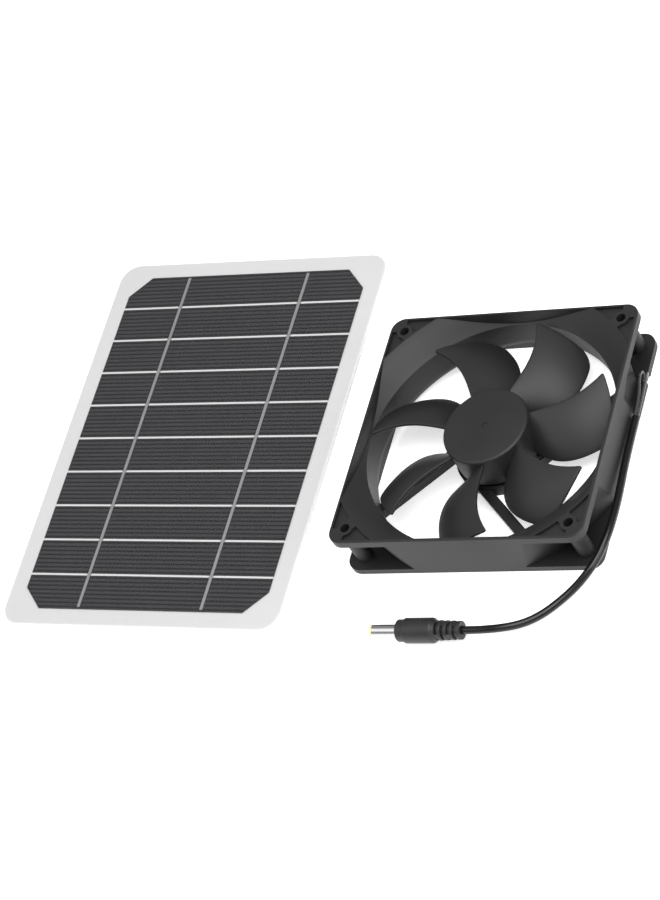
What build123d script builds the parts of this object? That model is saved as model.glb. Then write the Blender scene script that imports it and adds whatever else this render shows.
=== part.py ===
from build123d import *
import os
from math import atan, cos, degrees, pi, radians, sin, tan

# Solar ventilation kit: a 120 mm axial fan lying on its rear face, and the flat solar panel that feeds it.
# Origin: the fan's axis where it meets the fan's rear mounting face. +Z is the fan's intake side.
# Millimetres throughout.

os.makedirs("parts", exist_ok=True)

# ---- driving dimensions: fan frame ----
FRAME = 120.0
DEPTH = 25.0
HOLE_PITCH = 105.0
HOLE_R = 2.15
CORNER_R = 6.5
FRONT_FLANGE = 4.0
REAR_FLANGE = 3.5
THROAT_R = 58.0
THROAT_LOW = 6.5
THROAT_HIGH = 17.5
INTAKE_R = 69.5
OUTLET_R = 67.5
DUCT_WALL = 1.9
SIDE_WALL = 1.3
SKIN_R = (65.0, 68.6)
POCKET_DEPTH = 1.5
POST_R = 3.7

# ---- driving dimensions: struts, motor base and wire way ----
BASE_R = 20.8
BASE_FLOOR = 2.2
BASE_RIM = 5.2
STRUT_WIDTH = 4.6
STRUT_HEIGHT = 4.6
STRUT_OFFSET = 16.6
STRUT_ANGLE = 45.5
LABEL_R = 17.5
LABEL_THICK = 0.25

# ---- driving dimensions: rotor and motor ----
HUB_R = 19.7
HUB_TOP = 23.0
HUB_BOTTOM = 6.4
HUB_WALL = 1.5
BLADES = 7
BLADE_TIP_R = 55.6
BLADE_THICK = 1.5
YOKE_WALL = 0.9
MAGNET_WALL = 1.6
AIR_GAP = 0.4
SHAFT_R = 1.5
BEARING_R = 4.0
BEARING_LENGTH = 4.0
TUBE_R = 5.25
TUBE_TOP = 16.8

# ---- driving dimensions: leads, cord and plug ----
LEAD_D = 1.3
CORD_D = 3.5
PLUG_D = 11.0
BARREL_R = 2.75
PLUG_Y = -92.0

# ---- driving dimensions: solar panel ----
PANEL_W = 148.5
PANEL_H = 197.5
PANEL_T = 3.0
PANEL_CORNER = 9.5
BOARD_T = 1.8
FILM_T = 0.35
CELL_T = 0.2
CELL_FIELD_W = 130.8
CELL_FIELD_H = 181.5
CELL_ROWS = 10
CELL_GAP = 1.0
CELL_CHAMFER = 10.5
BUSBAR_X = 33.1
BUSBAR_W = 1.5
BOX_W = 46.0
BOX_H = 22.0
BOX_T = 10.2
BOX_START = 172.0
JACK_DROP = 5.4
PANEL_FOOT = (-161.7, -86.6)
PANEL_TURN = -2.0


def save(name, shape, colour):
    """Write one node, coloured, as its own STEP file."""
    shape.label = name
    shape.color = Color(*colour)
    export_step(shape, f"parts/{name}.step")


def ring(outer, inner, low, high):
    """A tube about the fan axis, or a disc when the inner radius is zero."""
    face = Circle(outer) - Circle(inner) if inner else Circle(outer)
    return extrude(Plane.XY.offset(low) * face, high - low)


def plate(size, corner, low, high):
    """A square plate with rounded corners, centred on the fan axis."""
    return extrude(Plane.XY.offset(low) * RectangleRounded(size, size, corner), high - low)


def block(x0, x1, y0, y1, z0, z1):
    """A box given by its two opposite corners."""
    return Pos((x0 + x1) / 2, (y0 + y1) / 2, (z0 + z1) / 2) * Box(x1 - x0, y1 - y0, z1 - z0)


def turned(outline):
    """A solid of revolution about the fan axis from a closed outline in the XZ plane."""
    return revolve(make_face(Plane.XZ * outline), Axis.Z)


# Where the corner screws sit
corners = [(sx * HOLE_PITCH / 2, sy * HOLE_PITCH / 2) for sx in (-1, 1) for sy in (-1, 1)]


def duct(throat, intake, outlet):
    """The flared volume of the air duct, for a given radius at the throat and at both mouths."""
    lower = Spline((outlet, 0), (throat, THROAT_LOW), tangents=((-1, 0.25), (0, 1)))
    upper = Spline((throat, THROAT_HIGH), (intake, DEPTH), tangents=((0.85, 0.55), (1, 0.4)))
    outline = Curve() + [
        Line((0, 0), (outlet, 0)),
        lower,
        Line((throat, THROAT_LOW), (throat, THROAT_HIGH)),
        upper,
        Line((intake, DEPTH), (0, DEPTH)),
        Line((0, DEPTH), (0, 0)),
    ]
    return turned(outline)


def strut_bar(turn, width, start, end, low, high):
    """A straight bar along the centreline of the strut that is turned by this angle."""
    bar = block(start, end, -STRUT_OFFSET - width / 2, -STRUT_OFFSET + width / 2, low, high)
    return Rot(0, 0, STRUT_ANGLE + turn) * bar


# ---- fan frame: flanges, duct, corner posts, struts and motor base in one moulding ----
# Between the flanges the duct's outside is a slightly tapered drum, cut flat where it meets the frame's sides
EDGE_R = 0.6
square = plate(FRAME, CORNER_R, 0, DEPTH)
square = fillet(square.edges().group_by(Axis.Z)[-1] + square.edges().group_by(Axis.Z)[0], EDGE_R)
flanges = plate(FRAME, CORNER_R, DEPTH - FRONT_FLANGE, DEPTH) + plate(FRAME, CORNER_R, 0, REAR_FLANGE)
flanges &= square
drum = Pos(0, 0, DEPTH / 2) * Cone(SKIN_R[0], SKIN_R[1], DEPTH)
drum -= block(56, FRAME, 14, 45, REAR_FLANGE, DEPTH - FRONT_FLANGE)
skin = duct(THROAT_R + DUCT_WALL, INTAKE_R + DUCT_WALL, OUTLET_R + DUCT_WALL) + drum
skin &= square
posts = [Pos(x, y, 0) * ring(POST_R, 0, 0, DEPTH) for x, y in corners]
fan_frame = flanges + skin + posts
inner_half = FRAME / 2 - SIDE_WALL
bore = duct(THROAT_R, INTAKE_R, OUTLET_R) & block(-inner_half, inner_half, -inner_half, inner_half, 0, DEPTH)
fan_frame -= bore

# Hollowed corners of the intake face, on both sides of a web that joins the screw post to the duct
POCKET_R = INTAKE_R + 0.6
WEB = 6.0
recess = plate(FRAME - 2 * SIDE_WALL, CORNER_R - SIDE_WALL, DEPTH - POCKET_DEPTH, DEPTH)
recess -= ring(POCKET_R, 0, 0, DEPTH)
for x, y in corners:
    recess -= Pos(x, y, 0) * ring(POST_R, 0, 0, DEPTH)
    recess -= Pos(x + 4 * x / abs(x), y + 4 * y / abs(y), DEPTH) * Box(8, 8, 2 * POCKET_DEPTH)
for turn in (45, 135):
    recess -= Rot(0, 0, turn) * block(-FRAME, FRAME, -WEB / 2, WEB / 2, 0, DEPTH)
fan_frame -= recess

# Struts reach from the motor base to the duct wall and end inside it
struts = [strut_bar(90 * k, STRUT_WIDTH, 8, FRAME, 0, STRUT_HEIGHT) for k in range(4)]
inside_wall = duct(THROAT_R + DUCT_WALL / 2, INTAKE_R, OUTLET_R + DUCT_WALL / 2)
fan_frame += (Part() + struts) & inside_wall & square
fan_frame += ring(BASE_R, 0, 0, BASE_RIM)
fan_frame -= ring(BASE_R - 1.4, 0, BASE_FLOOR, BASE_RIM)
fan_frame += ring(7.5, 0, BASE_FLOOR, BASE_FLOOR + 1.0)
fan_frame -= ring(TUBE_R, 0, BASE_FLOOR, BASE_FLOOR + 1.0)
fan_frame -= ring(BEARING_R - 0.6, 0, 0, BASE_FLOOR)
fan_frame -= ring(LABEL_R + 0.3, 0, 0, LABEL_THICK + 0.05)

# The wire way: a groove under the first strut, a gap in the base rim and a notch in the flange edge
GROOVE = 3.0
GROOVE_DEPTH = 2.7
fan_frame -= strut_bar(0, GROOVE, 13, 75, 0, GROOVE_DEPTH)
fan_frame -= strut_bar(0, GROOVE, 7, 17, GROOVE_DEPTH - 0.6, BASE_RIM)
fan_frame -= block(56.4, FRAME, 34.2, 39.0, 0, REAR_FLANGE)
for x, y in corners:
    fan_frame -= Pos(x, y, 0) * ring(HOLE_R, 0, 0, DEPTH)
save("fan_frame", fan_frame, (0.06, 0.06, 0.07))

# ---- bearing tube with a shoulder between its two bearing seats ----
SEAT_LOW = BASE_FLOOR + BEARING_LENGTH
SEAT_HIGH = TUBE_TOP - BEARING_LENGTH
bearing_tube = ring(TUBE_R, BEARING_R, BASE_FLOOR, TUBE_TOP) + ring(TUBE_R, BEARING_R - 0.8, SEAT_LOW, SEAT_HIGH)
save("bearing_tube", bearing_tube, (0.75, 0.6, 0.3))


def bearing(low):
    """A ball bearing with recessed shields between its inner and outer rings."""
    high = low + BEARING_LENGTH
    body = ring(BEARING_R, SHAFT_R + 0.03, low, high)
    body -= ring(BEARING_R - 0.6, SHAFT_R + 0.6, low, low + 0.3)
    body -= ring(BEARING_R - 0.6, SHAFT_R + 0.6, high - 0.3, high)
    return body


save("rear_bearing", bearing(BASE_FLOOR), (0.7, 0.72, 0.75))
save("front_bearing", bearing(SEAT_HIGH), (0.7, 0.72, 0.75))

# ---- circuit board with its chip, sensor and capacitor ----
BOARD_LOW = BASE_FLOOR + 1.0
BOARD_TOP = BOARD_LOW + 1.0
circuit_board = ring(17.2, TUBE_R + 0.05, BOARD_LOW, BOARD_TOP)
save("circuit_board", circuit_board, (0.1, 0.35, 0.15))
driver_chip = block(-12.5, -7.5, -2.5, 2.5, BOARD_TOP, BOARD_TOP + 1.3)
save("driver_chip", driver_chip, (0.05, 0.05, 0.05))
hall_sensor = Rot(0, 0, 135) * block(14.4, 15.9, -2.0, 2.0, BOARD_TOP, BOARD_TOP + 2.1)
save("hall_sensor", hall_sensor, (0.05, 0.05, 0.05))
filter_capacitor = Rot(0, 0, 225) * block(11.0, 13.0, -1.8, 1.8, BOARD_TOP, BOARD_TOP + 1.4)
save("filter_capacitor", filter_capacitor, (0.6, 0.5, 0.3))

# ---- stator: laminated core with four teeth, two insulators and four windings ----
YOKE_R = HUB_R - HUB_WALL
MAGNET_R = YOKE_R - YOKE_WALL
STATOR_R = MAGNET_R - MAGNET_WALL - AIR_GAP
CORE_LOW = 8.2
CORE_HIGH = 14.8
STATOR_HUB_R = 8.0
TOOTH = 4.2
SHOE = 1.6
INSULATION = 0.9


def stator_cross(tooth, hub, low, high):
    """A ring on the bearing tube with four teeth that end in curved shoes."""
    shape = ring(hub, TUBE_R, low, high)
    for k in range(4):
        shape += Rot(0, 0, 90 * k) * block(TUBE_R + 1, STATOR_R - 0.4, -tooth / 2, tooth / 2, low, high)
    shoes = ring(STATOR_R, STATOR_R - SHOE, low, high)
    for k in range(4):
        shoes -= Rot(0, 0, 45 + 90 * k) * block(0, STATOR_R + 1, -1.6, 1.6, low, high)
    return shape + shoes


save("stator_core", stator_cross(TOOTH, STATOR_HUB_R, CORE_LOW, CORE_HIGH), (0.45, 0.46, 0.48))
upper = stator_cross(TOOTH, STATOR_HUB_R, CORE_HIGH, CORE_HIGH + INSULATION)
save("upper_insulator", upper, (0.85, 0.85, 0.8))
lower = stator_cross(TOOTH, STATOR_HUB_R, CORE_LOW - INSULATION, CORE_LOW)
lower += ring(TUBE_R + 1.3, TUBE_R, BOARD_TOP, CORE_LOW - INSULATION)
save("lower_insulator", lower, (0.85, 0.85, 0.8))

WINDING = 1.3
coil_low = CORE_LOW - INSULATION - WINDING
coil_high = CORE_HIGH + INSULATION + WINDING
coil_half = TOOTH / 2 + WINDING
coil = block(STATOR_HUB_R + 0.3, STATOR_R - SHOE - 0.6, -coil_half, coil_half, coil_low, coil_high)
coil = fillet(coil.edges().filter_by(Axis.X), 1.0)
coil -= block(0, STATOR_R, -TOOTH / 2, TOOTH / 2, CORE_LOW - INSULATION, CORE_HIGH + INSULATION)
stator_coils = Compound(children=[Rot(0, 0, 90 * k) * coil for k in range(4)])
save("stator_coils", stator_coils, (0.7, 0.35, 0.15))

# ---- rear label, a blank disc over the bearing hole ----
rear_label = ring(LABEL_R, 0, 0.05, LABEL_THICK + 0.05)
save("rear_label", rear_label, (0.75, 0.75, 0.75))

# ---- rotor: impeller, steel yoke, ring magnet, shaft, spring and clip ----
HUB_BOSS_R = 4.2
GATE_MARK_R = 1.5
BOSS_LOW = 17.9
SHAFT_TOP = HUB_TOP - 2.0
SHAFT_LOW = 0.9

# Blade root and tip stations: radius, leading edge angle, trailing edge angle
blade_stations = [
    (18.9, 23.0, -11.0),
    (26.0, 20.8, -17.0),
    (35.0, 20.2, -16.5),
    (45.0, 22.6, -9.5),
    (57.0, 28.4, 1.5),
]
LEADING_Z = (20.4, 22.2)
TRAILING_Z = 8.2
CAMBER = 1.7
CHORD_POINTS = 7


def blade_point(station, share):
    """A point of the blade's middle surface, from trailing edge (0) to leading edge (1)."""
    radius, leading, trailing = station
    reach = (radius - HUB_R) / (BLADE_TIP_R - HUB_R)
    top = LEADING_Z[0] + (LEADING_Z[1] - LEADING_Z[0]) * reach
    angle = radians(trailing + (leading - trailing) * share)
    height = TRAILING_Z + (top - TRAILING_Z) * share + CAMBER * 4 * share * (1 - share)
    return Vector(radius * cos(angle), radius * sin(angle), height)


grid = [[blade_point(s, i / (CHORD_POINTS - 1)) for i in range(CHORD_POINTS)] for s in blade_stations]
blade_face = Face.make_surface_from_array_of_points(grid)
blade = thicken(blade_face, BLADE_THICK / 2, both=True)
blade &= ring(BLADE_TIP_R, HUB_R - HUB_WALL / 2, 0, DEPTH)

impeller = ring(HUB_R, 0, HUB_BOTTOM, HUB_TOP)
impeller = fillet(impeller.edges().group_by(Axis.Z)[-1], 1.2)
impeller -= ring(YOKE_R, 0, HUB_BOTTOM, HUB_TOP - HUB_WALL)
impeller += ring(HUB_BOSS_R, 0, BOSS_LOW, HUB_TOP - HUB_WALL)
impeller += [Rot(0, 0, 360 / BLADES * k) * blade for k in range(BLADES)]
impeller -= ring(SHAFT_R, 0, BOSS_LOW, SHAFT_TOP)
impeller -= ring(GATE_MARK_R, 0, HUB_TOP - 0.3, HUB_TOP)
save("impeller", impeller, (0.05, 0.05, 0.06))

YOKE_TOP = HUB_TOP - HUB_WALL
rotor_yoke = ring(YOKE_R, MAGNET_R, HUB_BOTTOM + 0.6, YOKE_TOP) + ring(YOKE_R, HUB_BOSS_R, YOKE_TOP - YOKE_WALL, YOKE_TOP)
save("rotor_yoke", rotor_yoke, (0.6, 0.6, 0.62))
rotor_magnet = ring(MAGNET_R, MAGNET_R - MAGNET_WALL, HUB_BOTTOM + 0.8, 17.6)
save("rotor_magnet", rotor_magnet, (0.15, 0.13, 0.12))

CLIP_LOW = 1.3
CLIP_T = 0.4
rotor_shaft = ring(SHAFT_R, 0, SHAFT_LOW, SHAFT_TOP)
rotor_shaft -= ring(SHAFT_R + 0.1, SHAFT_R - 0.35, CLIP_LOW, CLIP_LOW + CLIP_T)
save("rotor_shaft", rotor_shaft, (0.75, 0.76, 0.78))
shaft_clip = ring(2.8, SHAFT_R - 0.35, CLIP_LOW, CLIP_LOW + CLIP_T) - block(0, 3, -0.5, 0.5, CLIP_LOW, CLIP_LOW + CLIP_T)
save("shaft_clip", shaft_clip, (0.4, 0.4, 0.42))

SPRING_WIRE = 0.3
SPRING_R = 2.1
coil_path = Pos(0, 0, TUBE_TOP + SPRING_WIRE / 2 + 0.02) * Helix(pitch=0.38, height=0.76, radius=SPRING_R)
wire_section = (coil_path ^ 0) * Circle(SPRING_WIRE / 2)
preload_spring = sweep(wire_section, path=coil_path, is_frenet=True)
save("preload_spring", preload_spring, (0.7, 0.7, 0.72))


# ---- leads and cord: tubes along straight runs joined by tangent arcs ----
def corner_radii(points):
    """The largest arc at each corner of a route: 0.45 of the shorter run over the tangent of half the turn."""
    radii = []
    for before, here, after in zip(points, points[1:], points[2:]):
        run_in = Vector(*here) - Vector(*before)
        run_out = Vector(*after) - Vector(*here)
        half_turn = radians(run_in.get_angle(run_out)) / 2
        radii.append(0.45 * min(run_in.length, run_out.length) / tan(half_turn))
    return radii


def cord_tube(name, points, diameter):
    """A round tube along the route. Prints its length, its arcs and how its volume compares."""
    radii = corner_radii(points)
    path = FilletPolyline(*points, radius=radii)
    tube = sweep((path ^ 0) * Circle(diameter / 2), path=path)
    expected = path.length * pi * diameter**2 / 4
    arcs = ", ".join(f"{radius:.1f}" for radius in radii)
    print(f"{name}: length {path.length:.1f}, arcs {arcs}, volume ratio {tube.volume / expected:.4f}")
    return tube


def in_strut(along, side, height):
    """A point given along the first strut, beside its centreline and above the rear face."""
    point = Vector(along, side - STRUT_OFFSET, height).rotate(Axis.Z, STRUT_ANGLE)
    return (point.X, point.Y, point.Z)


# Both leads leave the board, drop into the wire way, fold up through the notch and meet the cord's jacket
LEAD_SIDE = 0.7
PAD_Z = BOARD_TOP + LEAD_D / 2
WAY_Z = 1.4
supply_route = [
    in_strut(-1, -LEAD_SIDE, PAD_Z),
    in_strut(9.5, -LEAD_SIDE, PAD_Z),
    in_strut(16.5, -LEAD_SIDE, WAY_Z),
    in_strut(67, -LEAD_SIDE, WAY_Z),
    (60.9, 37.6, 5.4),
    (62.3, 31.5, 8.4),
    (62.65, 21.5, 8.0),
    (62.65, 12.0, 7.8),
]
return_route = [
    in_strut(-1, LEAD_SIDE, PAD_Z),
    in_strut(9.5, LEAD_SIDE, PAD_Z),
    in_strut(16.5, LEAD_SIDE, WAY_Z),
    in_strut(66, LEAD_SIDE, WAY_Z),
    (58.8, 38.2, 6.0),
    (59.5, 32.5, 9.2),
    (61.25, 22.0, 8.4),
    (61.25, 12.0, 7.8),
]
save("supply_lead", cord_tube("supply_lead", supply_route, LEAD_D), (0.05, 0.05, 0.05))
save("return_lead", cord_tube("return_lead", return_route, LEAD_D), (0.05, 0.05, 0.05))

# The jacketed cord runs down the frame's side, over the rear flange's corner and along the ground to the plug
PLUG_Z = PLUG_D / 2
PLUG_TAIL = 5.7
cord_route = [
    (61.95, 12.0, 7.8),
    (61.95, -8.0, 7.8),
    (63.3, -31.0, 8.0),
    (62.8, -49.0, 8.2),
    (58.4, -62.2, 6.2),
    (48.8, -72.6, 2.0),
    (35.3, -86.0, 2.2),
    (19.7, PLUG_Y, PLUG_Z),
    (PLUG_TAIL, PLUG_Y, PLUG_Z),
]
save("power_cord", cord_tube("power_cord", cord_route, CORD_D), (0.04, 0.04, 0.04))

# ---- barrel plug, lying on the ground with its axis along X and its tip towards -X ----
GRIP_START = -24.2
GRIP_END = -6.2
NOSE = 3.3
BARREL_TIP = -37.6
TIP_RING = 1.3
SLEEVE_WALL = 0.4
CONTACT_R = 1.5
PIN_BORE = 1.05


def plug_ring(outer, inner, start, end):
    """A tube or disc along the plug's axis."""
    return Pos(start, PLUG_Y, PLUG_Z) * Rot(0, 90, 0) * ring(outer, inner, 0, end - start)


# The tail is slit around a spine that turns a quarter from one slit to the next, so that it bends with the cord
SLIT = 1.3
SPINE = 2.6
TAIL_CORE_R = 2.9
nose = chamfer(plug_ring(PLUG_D / 2 - 0.65, 0, GRIP_START, GRIP_START + NOSE).edges().group_by(Axis.X)[0], 0.6)
grip = plug_ring(PLUG_D / 2, 0, GRIP_START + NOSE, GRIP_END)
grip = chamfer(grip.edges().group_by(Axis.X)[-1], 1.2)
grip = chamfer(grip.edges().group_by(Axis.X)[0], 0.3)
tail_length = PLUG_TAIL - GRIP_END + 2.0
tail = Pos(PLUG_TAIL - tail_length / 2, PLUG_Y, PLUG_Z) * Rot(0, 90, 0) * Cone(4.5, 4.0, tail_length)
tail = chamfer(tail.edges().group_by(Axis.X)[-1], 0.6)
plug_grip = nose + grip + tail
for start, spine_turn in ((-5.8, 165), (-3.0, 75), (-0.2, 165), (2.6, 75)):
    slit = plug_ring(6, TAIL_CORE_R, start, start + SLIT)
    slit -= Pos(start + SLIT / 2, PLUG_Y, PLUG_Z) * Rot(spine_turn, 0, 0) * Box(SLIT, 14, SPINE)
    plug_grip -= slit
SOCKET_END = GRIP_START + 4.0
CONTACT_END = GRIP_START + 7.0
SHANK_R = BARREL_R + 0.35
plug_grip -= plug_ring(SHANK_R, 0, GRIP_START, SOCKET_END)
plug_grip -= plug_ring(CONTACT_R, 0, SOCKET_END, CONTACT_END)
save("plug_grip", plug_grip, (0.06, 0.06, 0.06))
plug_sleeve = plug_ring(BARREL_R, 0, BARREL_TIP + TIP_RING, GRIP_START)
plug_sleeve += plug_ring(SHANK_R, 0, GRIP_START, SOCKET_END)
plug_sleeve -= plug_ring(BARREL_R - SLEEVE_WALL, 0, BARREL_TIP, SOCKET_END)
save("plug_sleeve", plug_sleeve, (0.8, 0.8, 0.82))
plug_insulator = plug_ring(BARREL_R, CONTACT_R, BARREL_TIP, BARREL_TIP + TIP_RING)
plug_insulator += plug_ring(BARREL_R - SLEEVE_WALL, CONTACT_R, BARREL_TIP + TIP_RING, SOCKET_END)
save("plug_insulator", plug_insulator, (0.9, 0.85, 0.45))
plug_contact = plug_ring(CONTACT_R, PIN_BORE, BARREL_TIP + 0.3, CONTACT_END)
save("plug_contact", plug_contact, (0.8, 0.8, 0.82))

# ---- solar panel: its own frame has Y up from the lower edge, Z out of the back face ----
# It leans on its lower back edge and on the near edge of the junction box behind it.
TILT = degrees(atan(BOX_T / BOX_START))
panel_place = Pos(*PANEL_FOOT, 0) * Rot(0, 0, PANEL_TURN) * Rot(TILT, 0, 0)
CELL_LOW = BOARD_T + 0.3
CELL_HIGH = CELL_LOW + CELL_T
FILM_LOW = PANEL_T - FILM_T
RIBBON_T = 0.12
FIELD_LOW = (PANEL_H - CELL_FIELD_H) / 2
ROW_PITCH = (CELL_FIELD_H + CELL_GAP) / CELL_ROWS
ROW_HEIGHT = ROW_PITCH - CELL_GAP
print(f"panel tilt {TILT:.3f} degrees")


def sheet(low, high):
    """One full-size layer of the laminate."""
    outline = Pos(0, PANEL_H / 2) * RectangleRounded(PANEL_W, PANEL_H, PANEL_CORNER)
    return extrude(Plane.XY.offset(low) * outline, high - low)


def save_panel(name, shape, colour):
    """Write a panel piece where the panel stands."""
    save(name, panel_place * shape, colour)


field = Pos(0, PANEL_H / 2) * Rectangle(CELL_FIELD_W, CELL_FIELD_H)
field = chamfer(field.vertices(), CELL_CHAMFER)
field = extrude(Plane.XY.offset(CELL_LOW) * field, CELL_T)
rows = []
for row in range(CELL_ROWS):
    low = FIELD_LOW + row * ROW_PITCH
    rows.append(field & block(-PANEL_W, PANEL_W, low, low + ROW_HEIGHT, CELL_LOW, CELL_HIGH))
ribbons = []
for x in (-BUSBAR_X, BUSBAR_X):
    low = FIELD_LOW + 1.0
    high = FIELD_LOW + CELL_FIELD_H - 1.0
    ribbons.append(block(x - BUSBAR_W / 2, x + BUSBAR_W / 2, low, high, CELL_HIGH, CELL_HIGH + RIBBON_T))

# Output ribbons run behind the cells and turn down through slots in the board into the junction box
SLOT_X = 9.0
SLOT_Y = BOX_START + 5.0
RIBBON_W = 3.0
PAD_T = 0.4
BOX_ROOF = 1.0
TERMINAL_TOP = -PAD_T - BOX_ROOF - 1.0
flat = block(SLOT_X, BUSBAR_X, SLOT_Y, SLOT_Y + RIBBON_W, BOARD_T, BOARD_T + 0.2)
drop = block(SLOT_X, SLOT_X + 0.2, SLOT_Y, SLOT_Y + RIBBON_W, TERMINAL_TOP, BOARD_T + 0.2)
right_tail = flat + drop
tails = [right_tail, mirror(right_tail, Plane.YZ)]

back_board = sheet(0, BOARD_T)
for x in (-SLOT_X - 0.1, SLOT_X + 0.1):
    back_board -= block(x - 0.4, x + 0.4, SLOT_Y - 0.3, SLOT_Y + RIBBON_W + 0.3, 0, BOARD_T)
encapsulant = sheet(BOARD_T, FILM_LOW) - rows - ribbons - tails
save_panel("back_board", back_board, (0.85, 0.85, 0.85))
save_panel("encapsulant", encapsulant, (0.9, 0.9, 0.88))
save_panel("cell_strips", Compound(children=rows), (0.12, 0.12, 0.15))
save_panel("front_busbars", Compound(children=ribbons), (0.8, 0.8, 0.8))
save_panel("output_ribbons", Compound(children=tails), (0.8, 0.8, 0.8))
save_panel("front_film", sheet(FILM_LOW, PANEL_T), (0.85, 0.88, 0.9))

# ---- junction box behind the panel's upper end ----
LID_T = 1.2
GASKET_T = 0.3
BOX_WALL = 1.8
LID_HIGH = LID_T - BOX_T
BOX_LOW = LID_HIGH + GASKET_T
ROOF_LOW = -PAD_T - BOX_ROOF
SCREW_INSET = 3.2
SCREW_R = 0.9
HEAD_R = 1.7
BOX_MID = BOX_START + BOX_H / 2
spot_x = BOX_W / 2 - SCREW_INSET
spot_y = BOX_H / 2 - SCREW_INSET
screw_spots = [(sx * spot_x, BOX_MID + sy * spot_y) for sx in (-1, 1) for sy in (-1, 1)]


def box_plate(inset, corner, low, high):
    """A rounded slab of the junction box, inset from its outer walls."""
    outline = Pos(0, BOX_MID) * RectangleRounded(BOX_W - 2 * inset, BOX_H - 2 * inset, corner)
    return extrude(Plane.XY.offset(low) * outline, high - low)


def peg(x, y, radius, low, high):
    """A round peg that stands square to the panel."""
    return Pos(x, y, 0) * ring(radius, 0, low, high)


window = block(-12, 12, SLOT_Y - 2, SLOT_Y + RIBBON_W + 2, ROOF_LOW, 0)
save_panel("box_adhesive", box_plate(0.8, 1.5, -PAD_T, 0) - window, (0.2, 0.2, 0.2))
junction_box = box_plate(0, 2.5, BOX_LOW, -PAD_T) - box_plate(BOX_WALL, 1.0, BOX_LOW, ROOF_LOW)
for x, y in screw_spots:
    junction_box += peg(x, y, 2.4, BOX_LOW, -PAD_T)
    junction_box -= peg(x, y, SCREW_R, BOX_LOW, BOX_LOW + 4.5)
for x in (-14, 14):
    junction_box += peg(x, SLOT_Y + 4, 1.2, TERMINAL_TOP, ROOF_LOW)
junction_box -= window

# The jack looks out of the box's upper wall, along the panel
JACK_R = 3.25
JACK_OUT = BOX_START + BOX_H
JACK_IN = JACK_OUT - 9.0
JACK_BORE = BARREL_R + 0.1


def jack_ring(radius, start, end):
    """A disc along the jack's axis, which runs along the panel."""
    return Pos(0, start, -JACK_DROP) * Rot(-90, 0, 0) * ring(radius, 0, 0, end - start)


jack_neck = jack_ring(JACK_R, JACK_OUT - BOX_WALL, JACK_OUT)
junction_box -= jack_neck
save_panel("junction_box", junction_box, (0.06, 0.06, 0.06))
jack_shell = jack_neck
jack_shell += block(-4.5, 4.5, JACK_IN, JACK_OUT - BOX_WALL, -JACK_DROP - JACK_R, -JACK_DROP + JACK_R)
jack_shell -= jack_ring(JACK_BORE, JACK_IN + 1.2, JACK_OUT)
jack_shell -= jack_ring(1.0, JACK_IN, JACK_OUT)
save_panel("jack_shell", jack_shell, (0.08, 0.08, 0.08))
PIN_TAIL = JACK_IN - 1.5
save_panel("jack_pin", jack_ring(1.0, PIN_TAIL, JACK_OUT - 1.0), (0.8, 0.78, 0.6))

# ---- terminal board with its blocking diode and the two leads to the jack ----
TERMINAL_LOW = TERMINAL_TOP - 1.0
terminal_board = block(-16, 16, BOX_START + 2.4, SLOT_Y + 6, TERMINAL_LOW, TERMINAL_TOP)
save_panel("terminal_board", terminal_board, (0.1, 0.35, 0.15))
DIODE_R = 1.2
DIODE_Y = SLOT_Y + 3.0
diode_z = TERMINAL_LOW - DIODE_R
blocking_diode = Pos(-10.5, DIODE_Y, diode_z) * Rot(0, 90, 0) * Cylinder(DIODE_R, 4.4)
for x in (-14.0, -7.0):
    blocking_diode += block(min(x, -10.5), max(x, -10.5), DIODE_Y - 0.3, DIODE_Y + 0.3, diode_z - 0.3, diode_z + 0.3)
    blocking_diode += block(x - 0.3, x + 0.3, DIODE_Y - 0.3, DIODE_Y + 0.3, diode_z - 0.3, TERMINAL_LOW)
save_panel("blocking_diode", blocking_diode, (0.1, 0.1, 0.1))
pin_lead_route = [
    (5.0, SLOT_Y - 1.5, TERMINAL_LOW),
    (5.0, SLOT_Y - 1.5, TERMINAL_LOW - 1.9),
    (2.6, SLOT_Y + 1.0, -JACK_DROP),
    (0.0, SLOT_Y + 3.0, -JACK_DROP),
    (0.0, PIN_TAIL, -JACK_DROP),
]
shell_lead_route = [
    (-4.0, SLOT_Y - 1.5, TERMINAL_LOW),
    (-4.0, SLOT_Y - 1.5, -6.3),
    (-3.6, SLOT_Y + 1.6, -7.0),
    (-3.0, SLOT_Y + 4.6, -7.0),
    (-3.0, JACK_IN, -7.0),
]
jack_leads = [cord_tube("jack_lead", route, 0.9) for route in (pin_lead_route, shell_lead_route)]
save_panel("jack_leads", Compound(children=jack_leads), (0.5, 0.05, 0.05))

# ---- lid, its gasket and its four screws ----
lid = box_plate(0, 2.5, -BOX_T, LID_HIGH)
gasket = box_plate(0, 2.5, LID_HIGH, BOX_LOW) - box_plate(BOX_WALL, 1.0, LID_HIGH, BOX_LOW)
screws = []
for x, y in screw_spots:
    gasket += peg(x, y, 2.4, LID_HIGH, BOX_LOW)
    gasket -= peg(x, y, SCREW_R, LID_HIGH, BOX_LOW)
    lid -= peg(x, y, SCREW_R, -BOX_T, LID_HIGH)
    lid -= peg(x, y, HEAD_R + 0.1, -BOX_T, -BOX_T + 0.9)
    screw = peg(x, y, HEAD_R, -BOX_T + 0.1, -BOX_T + 0.9) + peg(x, y, SCREW_R, -BOX_T + 0.9, BOX_LOW + 4.0)
    for turn in (0, 90):
        screw -= Pos(x, y, -BOX_T) * Rot(0, 0, turn) * Box(2.2, 0.4, 0.9)
    screws.append(screw)
save_panel("lid_gasket", gasket, (0.3, 0.3, 0.3))
save_panel("box_lid", lid, (0.06, 0.06, 0.06))
save_panel("lid_screws", Compound(children=screws), (0.7, 0.7, 0.72))
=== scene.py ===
from math import cos, pi, radians, sin

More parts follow.
